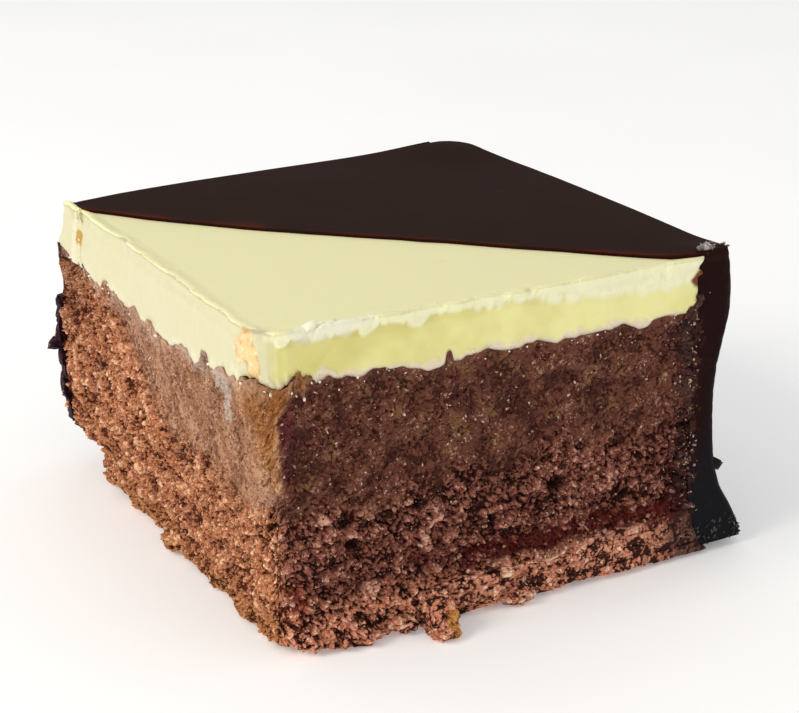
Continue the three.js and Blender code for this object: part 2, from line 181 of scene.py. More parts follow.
COAT_GAP, GAP_WAVES = 0.8, 0.4  # more than the CAD's clearance, so that the two meet unevenly
GAP_CLOSES = (0.2, 1.6)  # further from the coat than this nothing moves
BESIDE_COAT = 0.7  # triangles of a layer's back or right side look that way


def coat_side(points, faces):
    """Where the left and the front cut face of a layer end at the coat: heights and places."""
    beside = face_normals(points, faces)[:, :2].max(axis=1) > BESIDE_COAT
    rim = points[np.intersect1d(faces[cut_faces(points, faces)], faces[beside])]
    sides = []
    for axis in (1, 0):
        side = rim[rim[:, axis] > rim[:, 1 - axis]]
        side = side[np.argsort(side[:, 2])]
        sides.append((side[:, 2], side[:, axis]))
    return sides


def inside_coat(places, sides):
    """How far places on the cut faces lie from the coat."""
    x, y, z = places.T
    return np.where(x > y, np.interp(z, *sides[1]) - x, np.interp(z, *sides[0]) - y)


def up_to_coat(points, inset):
    """Closes the CAD's clearance, so that a layer touches the coat that was poured on it."""
    x, y, z = points.T
    reach = (COAT_GAP + GAP_WAVES * waves(points, 1.3, 91)) * (1 - between(inset, *GAP_CLOSES))
    reach = reach * (np.minimum(x, y) < RELIEF_TO)
    return points + np.column_stack([reach * (x > y), reach * (x <= y), 0 * z])


def placed(name, data):
    """An object with this mesh, lamp or camera, put in the scene."""
    made = bpy.data.objects.new(name, data)
    bpy.context.scene.collection.objects.link(made)
    return made


CRISP = radians(32)  # edges that turn more than this look broken, not rounded


def mesh_piece(name, points, faces, material, marks, node=None, crisp=CRISP):
    """A mesh object that rides on the slice, with a number at each corner for each mark."""
    mesh = bpy.data.meshes.new(name)
    mesh.from_pydata((points + CUT_CORNER) * MILLIMETRE, [], faces)
    mesh.shade_smooth()
    mesh.set_sharp_from_angle(angle=crisp)
    for mark, values in marks.items():
        mesh.attributes.new(mark, "FLOAT", "POINT").data.foreach_set("value", values.astype(np.float32))
    mesh.materials.append(material)
    piece = placed(name, mesh)
    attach(piece, "root")
    if node:
        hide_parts(node)


FRONT_FROM, FRONT_TO = -1.0, 3.5
FRONT_SOAKED_TO = 17.5  # how low the syrup reached on the front cut face
LEFT_SOAKED_TO = ([0, 5, 10, 17, 24, 30, 35, 40, 55], [19.5, 17.9, 17.1, 17.4, 18.5, 20.6, 25, 29, 32])
SOAKED_BLUR = 2.5


def on_front(places):
    """0 on the left cut face, 1 on the front one."""
    return between(places[:, 0] - places[:, 1], FRONT_FROM, FRONT_TO)


def dampness(places):
    """0 where the crumb is dry and torn, 1 where syrup has soaked it dense."""
    front = on_front(places)
    foot = FRONT_SOAKED_TO * front + (1 - front) * np.interp(places[:, 1], *LEFT_SOAKED_TO)
    level = places[:, 2] + 2.0 * waves(places, 6, 3) + 1.8 * waves(places, 1.6, 4)
    return between(level, foot - SOAKED_BLUR, foot + SOAKED_BLUR)


UNDERSIDE = -0.4  # triangles of the underside look down more than this


def lower_edge(points, faces):
    """Where a layer's cut faces end below: places along the cut, and the heights there."""
    shown = cut_faces(points, faces)
    under = face_normals(points, faces)[:, 2] < UNDERSIDE
    corners = np.intersect1d(faces[shown], faces[under & ~shown])
    x, y, z = points[corners].T
    order = np.argsort(x - y)
    return (x - y)[order], z[order]


CREAM_EDGE = lower_edge(*node_surface("cream_sheet"))


def under_cream(places):
    """How far places at the cut faces lie below the cream's lower edge."""
    x, y, z = places.T
    return np.interp(x - y, *CREAM_EDGE) - z


def off_spot(across, up, middle, size):
    """How far places are from the middle of a spot, 1 being its edge."""
    return np.hypot((across - middle[0]) / size[0], (up - middle[1]) / size[1])


JAM_FOOT, JAM_TOP = (5.0, 6.0), (7.6, 9.2)  # heights where the jam's stain sets in and ends
JAM_FROM = 27  # it shows from about here to the right
# Spots: place along the cut faces and height of the middle, and half width and height.
RUDDY_SPOT = ((3.6, 6.6), (2.6, 2.6))
MILK_SPOT, MILK_TAIL = ((-9.6, 30.0), (2.8, 1.7)), ((-8.5, 27.6), (0.9, 2.6))
AMBER_ENDS, AMBER_HEEL, AMBER_LEAN = 2.0, 29, 0.6  # its right border, and how its left one leans
AMBER_FROM, AMBER_FOOT = (-6.5, -1.0), (17.5, 21.0)
WINE_TO, WINE_LEVEL, WINE_HALF, WINE_TOP = (3.2, 4.2), 27.3, 1.7, 30
BIG_BUMP = 4.6  # where the crumb bites highest into the cream
STREAK_RISE, STREAK_RUN, STREAK_SIZE = 0.88, 0.47, (0.42, 5, 2)  # the knife's streaks lean this way
PEEL_AT, PEEL_SIZE = (20.7, -2.6, 1.6), (1.2, 2.0, 2.2)


def crumb_marks(places):
    """What colours the crumb: how damp, jammy, amber, milky, streaked or peel-like each place is."""
    x, y, z = places.T
    along, drop = x - y, under_cream(places)
    front = on_front(places)
    drift = 0.9 * waves(places, 3.5, 5) + 0.5 * waves(places, 1.1, 6)
    band = between(z + drift, *JAM_FOOT) * (1 - between(z + drift, *JAM_TOP))
    patch = between(waves(places * [1, 1, 1.6], 3.6, 8) + 0.06 * (x - JAM_FROM), -0.35, 0.4)
    ruddy = off_spot(along, z, *RUDDY_SPOT) + 0.3 * drift
    border = AMBER_ENDS + 1.6 * between(z, 28.4, 30.6) + 0.4 * drift
    amber = between(along - AMBER_LEAN * (AMBER_HEEL - z), *AMBER_FROM)
    amber = amber * (1 - between(along, border - 0.9, border + 0.5))
    brown = np.exp(-(((along - BIG_BUMP) / 0.8) ** 2)) * (1 - between(drop, 0.2, 1.6))
    wine = between(along, border - 0.4, border + 0.5) * (1 - between(along + 0.3 * drift, *WINE_TO))
    wine = wine * between(z, 18.5, 24) * (0.3 + 0.7 * np.exp(-(((z - WINE_LEVEL) / WINE_HALF) ** 2)))
    milk = off_spot(along, z, *MILK_SPOT) + 0.4 * drift
    tail = off_spot(along, z, *MILK_TAIL) + 0.3 * drift
    fringe = (0.3 + 0.35 * waves(places, 3, 9)) * (1 - between(drop + drift, 0.4, 2.0)) * (1 - front)
    slant = np.column_stack([y * STREAK_RISE - z * STREAK_RUN, y * STREAK_RUN + z * STREAK_RISE, x])
    peel = np.linalg.norm((places - PEEL_AT) / PEEL_SIZE, axis=1)
    return {
        "damp": dampness(places),
        "jam": band * front * patch,
        "ruddy": 1 - between(ruddy, 0.45, 1.15),
        "amber": np.maximum(amber * between(z + 1.6 * drift, *AMBER_FOOT), 0.8 * brown),
        "wine": wine * (z < WINE_TOP),
        "milk": np.maximum(1 - between(np.minimum(milk, tail), 0.6, 1.1), fringe),
        "streak": waves(slant / STREAK_SIZE, 1.0, 10),
        "peel": 1 - between(peel + 0.15 * drift, 0.85, 1.05),
    }


LUMP, GRAIN, BIT = 2.3, 1.0, 0.48  # sizes of the chunks that the crumb broke into
LUMP_DEPTH, GRAIN_DEPTH, BIT_DEPTH, DENSE_DEPTH = 0.42, 0.42, 0.36, 0.16
CRACK_WIDTH, CRACK_DEPTH = 0.16, 0.35
HOLE_CELL, HOLE_SHARE = 3.2, 0.35  # air bubbles, one in this share of the cells
# The largest pits: place along the cut faces, height and radius.
PITS = [(10.4, 12.2, 1.0), (36.0, 13.7, 1.3), (27.5, 5.0, 0.8), (46.0, 10.5, 0.9), (18.5, 15.2, 0.7),
        (-47.9, 19.5, 1.6), (-57.0, 31.2, 1.3), (-14.9, 18.0, 0.8), (-40.0, 12.0, 0.7), (-30.5, 9.0, 0.9)]
PIT_DEPTH = 1.1
LEDGE_TO = (3.55, 3.8)  # the amber facet stands out up to here


def broken(places, size, seed):
    """A face broken into chunks of that size, each at its own height and slope, with cracks between."""
    nearest, second, number, lean = cells(places, size, seed)
    crack = np.exp(-(((second - nearest) / CRACK_WIDTH) ** 2))
    return number - 0.5 + 0.9 * lean - CRACK_DEPTH * crack, number * 7.31 % 1


def crumb_relief(places):
    """How far the crumb stands out of the cut face, and marks: how high, how hollow and its own tone."""
    x, y, z = places.T
    damp = dampness(places)
    bent = places * (1.2 - 0.15 * on_front(places))[:, None]
    bent = bent + 0.35 * np.stack([waves(places, 0.8, 30 + k) for k in range(3)], axis=1)
    lump, lump_tone = broken(bent * [0.85, 0.85, 1.2], LUMP, 21)
    grain, grain_tone = broken(bent, GRAIN, 1)
    bit, bit_tone = broken(bent, BIT, 11)
    torn = LUMP_DEPTH * lump + GRAIN_DEPTH * grain + BIT_DEPTH * bit
    dense = 0.25 * waves(places, 2.2, 12) + DENSE_DEPTH * grain + DENSE_DEPTH * bit
    stand = torn * (1 - damp) + dense * damp
    off, _, drawn, _ = cells(bent, HOLE_CELL, 41)
    off = off * (1.2 + 0.6 * waves(places, 0.9, 45))
    hole = (drawn < HOLE_SHARE) * np.sqrt(np.clip(1 - (off / (0.1 + 0.4 * drawn)) ** 2, 0, 1))
    hole = hole * (1 - 0.75 * damp)
    for along, level, radius in PITS:
        off = np.hypot(x - y - along, z - level + 0.5 * waves(places, 1.2, 51)) / radius
        hole = np.maximum(hole, np.sqrt(np.clip(1 - off ** 2, 0, 1)))
    ledge = (1 - between(x + 0.25 * waves(places, 1.5, 71), *LEDGE_TO)) * (1 - between(y, 2, 6))
    ledge = ledge * (0.15 * between(z, 17.5, 20) + 0.35 * between(z, 27.5, 30))
    height = 0.2 * waves(places, 6, 61) + stand - PIT_DEPTH * hole + ledge
    # As a mark, this height paints higher crumb lighter and lower crumb darker: painted highlight and shade.
    stand = np.clip(stand * (2.0 + 2.0 * damp), -1, 1)
    return height, {"stand": stand, "hollow": hole, "tone": (lump_tone + grain_tone + bit_tone) / 3}


def colours(codes):
    """Colours in linear light, each named as the eye sees it by six hexadecimal digits."""
    for code in codes.split():
        shares = [int(code[k:k + 2], 16) / 255 for k in (0, 2, 4)]
        yield (*[s / 12.92 if s < 0.04045 else ((s + 0.055) / 1.055) ** 2.4 for s in shares], 1)


class Wire:
    """One socket of a material's node tree. Sums and products of wires add their Math nodes."""

    def __init__(self, tree, socket=None):
        self.tree, self.socket = tree, socket

    def node(self, kind, settings, sockets, out=0):
        """Any node, by type: its settings are set first, then its sockets' values or links."""
        made = self.tree.nodes.new("ShaderNode" + kind)
        for name, value in settings.items():
            setattr(made, name, value)
        for name, value in sockets.items():
            if isinstance(value, Wire):
                self.tree.links.new(value.socket, made.inputs[name])
            else:
                made.inputs[name].default_value = value
        return Wire(self.tree, made.outputs[out] if made.outputs else None)

    def maths(self, operation, first, second):
        return self.node("Math", {"operation": operation}, {0: first, 1: second})

    def __add__(self, other):
        return self.maths("ADD", self, other)

    def __sub__(self, other):
        return self.maths("SUBTRACT", self, other)

    def __rsub__(self, other):
        return self.maths("SUBTRACT", other, self)

    def __mul__(self, other):
        return self.maths("MULTIPLY", self, other)

    __radd__ = __add__
    __rmul__ = __mul__

    def rise(self, low, high):
        """Eases from 0 to 1 as this value goes from low to high."""
        return self.node("MapRange", {"interpolation_type": "SMOOTHSTEP"}, {0: self, 1: low, 2: high})

    def mix(self, first, second):
        """The first colour where this value is 0, the second where it is 1."""
        return self.node("Mix", {"data_type": "RGBA"}, {0: self, 6: first, 7: second}, out=2)

    def mark(self, name):
        """A number that the mesh carries at each corner."""
        return self.node("Attribute", {"attribute_name": name}, {}, out=2)

    def part(self, axis):
        """One part of a place, in mm from the foot of the front corner of the cut."""
        return self.node("SeparateXYZ", {}, {0: self}, out=axis) * 1000 - float(CUT_CORNER[axis])

    def noise(self, size, detail=2.0, roughness=0.5):
        """Random waves of that size in mm over a place."""
        sockets = {"Vector": self, "Scale": 1000 / size, "Detail": detail, "Roughness": roughness}
        return self.node("TexNoise", {}, sockets)

    def spots(self, size):
        """The distance to scattered spots, one to a cell of that size in mm."""
        return self.node("TexVoronoi", {}, {"Vector": self, "Scale": 1000 / size})

    def bumped(self, strength, depth):
        """This height as a relief of that depth in mm."""
        sockets = {"Strength": strength, "Distance": depth * MILLIMETRE, "Height": self}
        return self.node("Bump", {}, sockets)


def new_material(name):
    """An empty material: a wire to start from and the place on the surface."""
    material = bpy.data.materials.new(name)
    material.use_nodes = True
    material.node_tree.nodes.clear()
    start = Wire(material.node_tree)
    return material, start, start.node("TexCoord", {}, {}, out=3)


def finish_material(start, sockets):
    """The surface shader, with these socket values and links, on the output."""
    shader = start.node("BsdfPrincipled", {}, sockets)
    start.node("OutputMaterial", {"target": "ALL"}, {"Surface": shader})


# Painted light and shade: the left cut face's colours are a lit copy of the crumb, and the front cut face's,
# with its foot and wet ones, a shaded copy.
LIT_LEFT_DARK, LIT_LEFT_MID, LIT_LEFT_LIGHT, LIT_LEFT_WET, LIT_LEFT_STREAK = colours("5C2A18 C8865F FCCEA6 9E6C4C C79A7C")
SHADED_FRONT_DARK, SHADED_FRONT_MID, SHADED_FRONT_LIGHT = colours("381610 8E5446 D49E86")
LIT_RIM_MID, LIT_RIM_LIGHT, SHADED_FOOT_MID, SHADED_FOOT_LIGHT = colours("C08252 EEBE8C DA9070 FFDEC2")
SHADED_WET_DEEP, SHADED_WET_MID, SHADED_WET_OLIVE, PAINTED_WET_GLINT = colours("451C14 6E3E2D 7F5638 B8907C")
JAM_STAIN, RUDDY, WINE = colours("62201A 802E14 60202A")
AMBER, AMBER_TAN, AMBER_PALE, MILK = colours("A06228 BA855A E2B890 DAD2C6")
PEEL, PEEL_PALE, PEEL_DARK = colours("B86C2C E2A45C 6A3414")
PIT_SHADE, DARK_BY_COAT = colours("33120A 2C1A1A")
RIM_TO, FOOT_TO = (3.0, 7.0), (5.5, 9.0)  # heights where paler crumb by the board ends
BACK_DARK, BACK_DARK_TOP = (42.0, 56.0), (18.0, 26.0)  # the left face darkens to the back, above
BACK_DAMP = (24.0, 48.0)
RIGHT_DARK = (46.0, 54.0)  # the front face darkens to the right
DARK_BY_COAT_FROM = (54.4, 55.6)


def crumb_material(name):
    """Baked sponge, moist where syrup soaked it, in painted light: a lit copy on the left cut, a darker
    shaded copy on the front.
    """
    material, start, place = new_material(name)
    x, y, z = (place.part(axis) for axis in range(3))
    tone, stand, damp, streak = (start.mark(mark) for mark in ("tone", "stand", "damp", "streak"))
    speck = place.noise(0.4, detail=3, roughness=0.7)
    patch = place.noise(2.4)
    cloud = place.noise(6.0)
    grain = place.spots(0.45)
    # Painted highlight and shade: high chunks lighter and gaps darker, mixed with each chunk's own random
    # tone.
    level = stand * 0.3 + tone * 0.45 + speck * 0.7 - grain * 0.45 + 0.1
    light, dark = level.rise(0.5, 0.85), 1 - level.rise(0.14, 0.44)
    rim = (1 - (z + cloud * 3).rise(*RIM_TO)) * 0.8
    left = light.mix(rim.mix(LIT_LEFT_MID, LIT_RIM_MID), rim.mix(LIT_LEFT_LIGHT, LIT_RIM_LIGHT))
    left = (y.rise(*BACK_DARK) * z.rise(*BACK_DARK_TOP) * 0.45 + dark).mix(left, LIT_LEFT_DARK)
    wet_left = (streak * 0.22 + speck + patch * 0.5).rise(0.58, 1.02).mix(LIT_LEFT_WET, LIT_LEFT_STREAK)
    wet_left = (dark * 0.5 + y.rise(*BACK_DAMP) * 0.22).mix(wet_left, LIT_LEFT_DARK)
    to_right = x.rise(*RIGHT_DARK) * 0.3
    foot = 1.1 - (z + cloud * 3).rise(*FOOT_TO) - to_right
    dry = light.mix(foot.mix(SHADED_FRONT_MID, SHADED_FOOT_MID), foot.mix(SHADED_FRONT_LIGHT, SHADED_FOOT_LIGHT))
    dry = (dark + to_right).mix(dry, SHADED_FRONT_DARK)
    wet = patch.rise(0.54, 0.68).mix(SHADED_WET_MID, SHADED_WET_OLIVE)
    wet = (dark * 0.9).mix(wet, SHADED_WET_DEEP)
    # Painted glints: pale spots, most on high crumb, stand in for the sparkle of light on the moist crumb.
    wet = ((speck + stand * 0.12).rise(0.6, 0.72) * 0.8).mix(wet, PAINTED_WET_GLINT)
    # Painted light and shade: the left cut face takes the lit colours, the front cut face the shaded ones.
    front = (x - y + cloud * 3).rise(0.5, 4.5)
    colour = front.mix(damp.mix(left, wet_left), damp.mix(dry, wet))
    jam = start.mark("jam") * (0.92 - 0.55 * light)
    colour = jam.mix(colour, JAM_STAIN)
    # The crumb darkens in uneven patches where it meets the coat.
    by_coat = (x + place.noise(1.8, detail=3) * 5).rise(*DARK_BY_COAT_FROM)
    colour = (by_coat * 0.65).mix(colour, DARK_BY_COAT)
    colour = (start.mark("ruddy") * (0.5 - 0.3 * light)).mix(colour, RUDDY)
    # Painted glow and highlight: the amber paints the light shining into the corner facet, paler on high
    # chunks; the brown bump under the cream takes this colour too.
    amber = start.mark("amber")
    glow = (amber + patch * 1.2 - 0.6).rise(0.5, 1.1).mix(AMBER_TAN, AMBER)
    glow = ((speck + stand * 0.15).rise(0.5, 0.75) * (1.4 - amber)).mix(glow, AMBER_PALE)
    colour = (amber.rise(0.0, 0.7) * 0.9).mix(colour, (dark * 0.3).mix(glow, LIT_LEFT_DARK))
    colour = (start.mark("wine") * 0.8).mix(colour, WINE)
    colour = (start.mark("milk") * (0.3 + 0.4 * speck)).mix(colour, MILK)
    peel = (tone * 0.5 + speck).rise(0.5, 0.85).mix(PEEL, PEEL_PALE)
    colour = start.mark("peel").mix(colour, (speck.rise(0.5, 0.38) * 0.8).mix(peel, PEEL_DARK))
    colour = start.mark("hollow").rise(0.1, 0.9).mix(colour, PIT_SHADE)
    relief = place.noise(0.28, detail=4) - 0.8 * grain
    finish_material(start, {
        "Base Color": colour,
        "Roughness": 0.85 - 0.35 * damp,
        "Specular IOR Level": 0.18,
        "Normal": relief.bumped(1.0, 0.22),
    })
    return material


BITE, BITE_LIMITS = 0.6, (-1.3, 1.5)  # how far crumb and cream bite into each other
# Single bites: place along the cut faces, height and half width.
BUMPS = [(BIG_BUMP, 1.4, 1.15), (6.8, -0.6, 0.7), (8.8, -0.4, 0.8), (13.5, 0.9, 1.2), (21.9, 1.3, 0.4),
         (-13.2, 1.2, 0.9), (-3.0, 0.8, 0.8), (-29.0, 0.8, 1.0), (-42.5, 1.0, 1.2)]
BITE_REACH, CALM_REACH, CALM = 1.3, 0.5, 0.75


def bitten(points):
    """Moves the seam under the cream up and down in small bites, alike for both layers."""
    x, y, _ = points.T
    plan = points * [1, 1, 0]
    bite = BITE * waves(plan, 2.2, 81) + 0.5 * BITE * waves(plan, 0.8, 82)
    bite *= 1 - 0.45 * between(x, 3, 12)
    for along, height, width in BUMPS:
        bite += height * np.exp(-(((x - y - along) / width) ** 4))
    closeness = np.exp(-((under_cream(points) / BITE_REACH) ** 2)) * near_cut(points)
    return lifted(points, np.clip(bite, *BITE_LIMITS) * closeness)


def calm_at_seam(points):
    """Less relief beside the seam, so that the cream doesn't overhang the crumb by much."""
    return 1 - CALM * np.exp(-((under_cream(points) / CALM_REACH) ** 2))


def peel_rested(points):
    """Sets the lower half of the strip of peel down on the board."""
    x, y, z = points.T
    rest = between(-y, 0.2, 1.8) * (1 - between(z, 1.5, 4.5)) * (np.abs(x - PEEL_AT[0]) < 2.5)
    return points * np.column_stack([x ** 0, x ** 0, 1 - 0.8 * rest])


CRUMB_EDGE = 0.17  # longest edge in the torn crumb
STICKS_OUT = 0.6  # what stands further out of a cut face than this is torn all round
SEAM_STANDS, SEAM_CLOSES = 0.28, 0.17  # the crumb stands out under the cream and fills the clearance
EDGE_STANDS, EDGE_WIDTH = 0.1, 0.3  # within this width of the coat the crumb sinks no lower
torn_faces = {}


def sponge_layer(node, material):
    """The visible piece of one sponge layer: its CAD node with the crumb torn into the cut faces."""
    points, faces = node_surface(node)
    sides = coat_side(points, faces)
    out_of_it = points[faces].mean(axis=1)[:, :2].min(axis=1) < -STICKS_OUT
    points, faces, shown = split_long_edges(points, faces, cut_faces(points, faces) | out_of_it, CRUMB_EDGE)
    points = peel_rested(points)
    inset = inside_coat(points, sides)
    calm = calm_at_seam(points)
    points = bitten(points)
    height, marks = crumb_relief(points)
    lowest = EDGE_STANDS - 2 * np.clip(inset - EDGE_WIDTH, 0, 1)
    height = np.maximum(height, lowest) * calm + SEAM_STANDS * (1 - calm)
    height *= near_cut(points)
    points[:, 2] += SEAM_CLOSES * between(1 - calm, 0.6, 0.72)
    marks.update(crumb_marks(points))
    points = up_to_coat(points + out_of_cut(points) * height[:, None], inset)
    torn_faces[node] = points[faces[shown]]
    mesh_piece(node + "_crumb", points, faces, material, marks, node)


sponge_layer("base_sponge", crumb_material("base_sponge_crumb"))

# The thin seam of red jam between the two sponges. It has soaked into the crumb on both sides,
# so it shows as a dark moist band, plainest in the right half of the front cut face.

sponge_layer("jam_seam", crumb_material("jam_soaked_crumb"))

# The crumbly foot of the upper sponge, baked like the lower one. No syrup reached it, so the
# knife tore it as deep as the base.

sponge_layer("crumb_sponge", crumb_material("upper_sponge_crumb"))

# The upper half of that sponge, soaked with syrup from above until it set dense and moist. At the
# front corner it broke off in an amber facet that the light shines into.

sponge_layer("soaked_sponge", crumb_material("soaked_sponge_crumb"))

# The cream sheet on the sponge, a dense pale paste rolled out and laid on. The knife dragged its
# upper edge into a torn lip, its lower edge is a thin fringe over the crumb, and it is
# see-through enough to look greener inside, where no light falls on the cut.

CREAM_TOP = 37.5
CREAM_ROUND = 1.3  # radius of the CAD's upper edge
SHARPNESS = 0.95  # 1 draws that edge out sharp, 0 leaves it round
SAG_TO = (-1.2, -0.5)  # above these heights, from the top, the CAD's sag is lifted out
LIP_LOBE, FRINGE_LOBE = 2.0, 2.3
LIP_WIDENS = (26, 50)  # between these places, to the right
# Drips of the fringe: place along the cut faces and height.
FRINGE_LOBES = [(0.2, 1.3), (7.0, 0.7)]
CORNER_SPOT, CORNER_SKEW, CORNER_HEEL = ((-1.9, 34.9), (2.4, 3.1)), 0.45, 34.5
GOLD_SPOT, BROWN_SPOT = ((-51.4, 34.2), (1.2, 1.2)), ((54.3, 35.2), (1.3, 1.6))
SKIN_SPOT, SKIN_BELOW = ((7.5, 0), (5.5, 1.4)), 0.3
SCUFF_SPOT = ((28.0, 12.7), (1.2, 0.6))  # on the top, in plan


def lobes(along, size, seed):
    """Rounded drips side by side along the cut: about 1 at the middle of each, 0 between them."""
    line = np.column_stack([along, 0 * along, 0 * along])
    nearest, second, number, _ = cells(line, size, seed)
    return np.sqrt(np.clip(1.5 * (second - nearest), 0, 1)) * (0.5 + 0.5 * number)


def crisp_edge(points):
    """Draws the rounded upper edge of the cream out to the sharp edge of a knife cut."""
    sag = CREAM_TOP - points[:, 2]
    points = lifted(points, 0.9 * sag * between(-sag, *SAG_TO))
    inner = np.clip(1 - np.min(points[:, :2], axis=1) / CREAM_ROUND, 0, 1)
    upper = np.clip(1 - (CREAM_TOP - points[:, 2]) / CREAM_ROUND, 0, 1)
    longer, round_off = np.maximum(np.maximum(inner, upper), 1e-3), np.hypot(inner, upper)
    grow = np.where((inner > 0) & (upper > 0), (round_off / longer) ** SHARPNESS - 1, 0)
    out = out_of_cut(points) * (grow * inner * CREAM_ROUND)[:, None]
    return lifted(points + out, grow * upper * CREAM_ROUND)


def cream_marks(places):
    """Where the cream's zones are: above zero in the lip and the fringe, below one in the spots."""
    x, y, z = places.T
    along, below = x - y, CREAM_TOP - z
    drift = 0.25 * waves(places, 1.4, 145)
    lip = 0.7 + 1.0 * lobes(along, LIP_LOBE, 151) + 1.3 * between(along, *LIP_WIDENS) - below + drift
    fringe = 0.4 + 1.4 * lobes(along, FRINGE_LOBE, 161) + under_cream(places) + drift
    for place, height in FRINGE_LOBES:
        fringe = fringe + height * np.exp(-(((along - place) / 1.1) ** 2))
    corner = off_spot(along + CORNER_SKEW * (z - CORNER_HEEL), z, *CORNER_SPOT) + 2.0 * drift
    corner = corner + np.maximum(np.minimum(x, y) - 0.3, 0) * 1.5 + 2 * between(along, 0.2, 1.4)
    off_edge = np.hypot(below - SKIN_BELOW, np.maximum(y, 0))
    return {
        "lip": lip, "fringe": fringe, "corner": corner, "below_top": below,
        "gold": off_spot(along, z, *GOLD_SPOT) + 2 * drift,
        "brown": off_spot(along, z, *BROWN_SPOT) + 0.2 * drift,
        "skin": off_spot(along, off_edge, *SKIN_SPOT) + drift,
        "scuff": off_spot(x, y, *SCUFF_SPOT) + drift,
    }


CREAM_FACE, CREAM_LIT, CREAM_LIT_LOW, CREAM_RIM_SHADE = colours("EDE8B5 D6D1AB E1DABA BDB694")
# Colours of the front cut, painting the glow of light through the cream where it lies in shade.
CREAM_DEEP, CREAM_PAINTED_GLOW = colours("E3DA89 FAF2AA")
CREAM_LIP, CREAM_SKIN, CREAM_FRINGE = colours("FCF8CE F4F2DC EFDCC6")
PEACH, PEACH_BROWN, GOLD, BROWN_STAIN = colours("E9CB94 BE8C58 C09A48 743900")


def cream_material():
    """Pale cream, with painted light: lit ivory on the left cut, a painted greener glow on the shaded front
    cut.
    """
    material, start, place = new_material("marzipan_cream")
    x, y = (place.part(axis) for axis in range(2))
    lip, fringe, corner = (start.mark(mark) for mark in ("lip", "fringe", "corner"))
    cloud = place.noise(5.0)
    speck = place.noise(0.7, detail=3)
    front = (x - y + speck).rise(0.5, 3.5)
    below = start.mark("below_top")
    side = (below + speck * 0.1).rise(0.06, 0.2)
    # Painted glow: the front cut's brighter, greener colours stand in for light coming through the cream in
    # shade.
    deep = (cloud + x * 0.010).rise(0.45, 1.05).mix(CREAM_DEEP, CREAM_PAINTED_GLOW)
    deep = (lip + x * 0.014).rise(-0.25, 0.45).mix(deep, CREAM_LIP)
    deep = ((fringe + speck * 0.6).rise(0.0, 1.0) * 0.9).mix(deep, CREAM_FRINGE)
    lit = (fringe + cloud).rise(0.0, 1.2).mix(CREAM_LIT, CREAM_LIT_LOW)
    colour = side.mix(CREAM_FACE, front.mix(lit, deep))
    # Painted shade: a darker band just under the upper edge of the left cut keeps that edge looking sharp.
    rim = below.rise(0.0, 0.06) * (1 - below.rise(0.15, 0.4)) * (1 - front)
    colour = (rim * 0.8).mix(colour, CREAM_RIM_SHADE)
    colour = ((1 - (start.mark("skin") + speck * 0.5).rise(0.8, 1.3)) * 0.8).mix(colour, CREAM_SKIN)
    peach = ((speck + corner * 0.25).rise(0.6, 0.85) * 0.8).mix(PEACH, PEACH_BROWN)
    peach = ((1 - speck).rise(0.55, 0.7) * 0.6).mix(peach, CREAM_LIP)
    colour = (1 - (corner + speck * 0.9).rise(1.1, 1.6)).mix(colour, peach)
    colour = (1 - (start.mark("gold") + speck * 0.8).rise(0.9, 1.3)).mix(colour, GOLD)
    colour = ((1 - start.mark("brown").rise(0.7, 1.0)) * side).mix(colour, BROWN_STAIN)
    colour = ((1 - start.mark("scuff").rise(0.3, 1.0)) * 0.3).mix(colour, CREAM_DEEP)
    relief = place.noise(2.5) + 0.6 * place.noise(0.5, detail=3) * side
    finish_material(start, {
        "Base Color": colour,
        "Roughness": 0.55 - 0.15 * side,
        "Specular IOR Level": 0.25,
        "Subsurface Weight": 0.3,
        "Subsurface Radius": (1.0, 0.8, 0.3),
        "Subsurface Scale": 0.0012,
        "Normal": relief.bumped(0.3, 0.12),
    })
    return material


CREAM_EDGE_LENGTH, CREAM_TOP_EDGE = 0.26, 0.9  # longest edges by the cut and over the top
LOOKS_UP = 0.5
CREAM_RELIEF_REACH = 1.8
CREAM_LUMP, CREAM_FLAKE = 1.7, 0.8
LUMP_STANDS, FLAKE_STANDS = 0.14, 0.05
LIP_STANDS, FRINGE_STANDS = 0.3, 0.12
CREAM_SHARP = radians(60)


